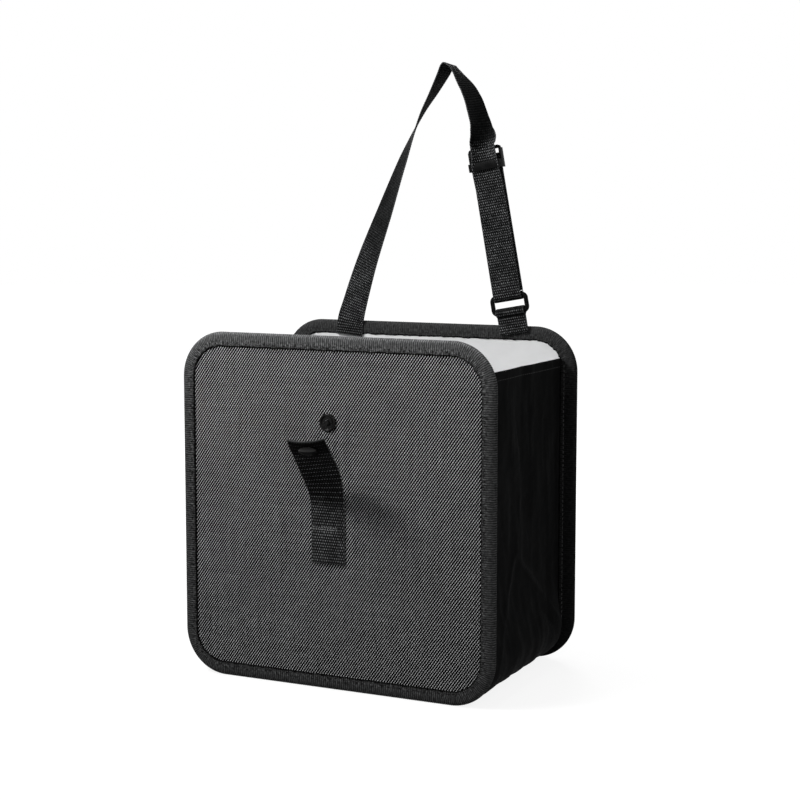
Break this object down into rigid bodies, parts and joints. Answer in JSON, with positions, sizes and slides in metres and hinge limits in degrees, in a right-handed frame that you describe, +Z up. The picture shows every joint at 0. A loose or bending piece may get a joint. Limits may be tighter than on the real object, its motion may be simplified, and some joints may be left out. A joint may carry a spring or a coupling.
{
  "type": "back seat organizer",
  "caption": "Open fabric box with two stiff rounded panels, a folding gusset, an adjustable hanging strap and a snap tab, hung behind a car seat.",
  "frame": {"origin": "under the middle of the overall box, on the surface that the panels stand on", "axes": "+Z up, +X across the panels, +Y towards the seat back that the back panel hangs against"},
  "size_m": [0.25, 0.2108, 0.4517],
  "materials": {
    "cover_fabric": "coarse woven fabric, dark grey with pale thread dots",
    "board": "plain grey board, hidden inside the panels",
    "lining_film": "smooth pale grey coated lining",
    "binding_tape": "ribbed grosgrain tape, charcoal",
    "gusset_fabric": "fine plain woven nylon, black, creased at its folds",
    "webbing": "ribbed black webbing",
    "hardware_plastic": "moulded black plastic, half gloss",
    "snap_metal": "glossy black painted snap"
  },
  "bodies": {
    "back_panel": {"back_cover": "cover_fabric", "back_board": "board", "back_lining": "lining_film", "back_binding": "binding_tape", "gusset": "gusset_fabric", "gusset_lining": "lining_film", "hanging_strap": "webbing", "strap_tail": "webbing", "ring": "hardware_plastic", "ring_loop": "webbing"},
    "front_panel": {"front_cover": "cover_fabric", "front_board": "board", "front_lining": "lining_film", "front_binding": "binding_tape", "closure_tab": "webbing", "snap_cap": "snap_metal", "snap_socket": "snap_metal", "snap_stud": "snap_metal", "stud_rivet": "snap_metal"},
    "strap_slider": {"slider": "hardware_plastic", "slider_strap_end": "webbing"}
  },
  "joints": [
    {"name": "fold_flat", "type": "slide", "parent": "back_panel", "child": "front_panel", "axis": [0, 1, 0], "range_m": [0, 0.136], "deforming": ["gusset", "gusset_lining"]},
    {"name": "slider_slide", "type": "slide", "parent": "back_panel", "child": "strap_slider", "axis": [0.1788, 0, -0.9839], "range_m": [0, 0.086], "deforming": ["strap_tail"]}
  ]
}
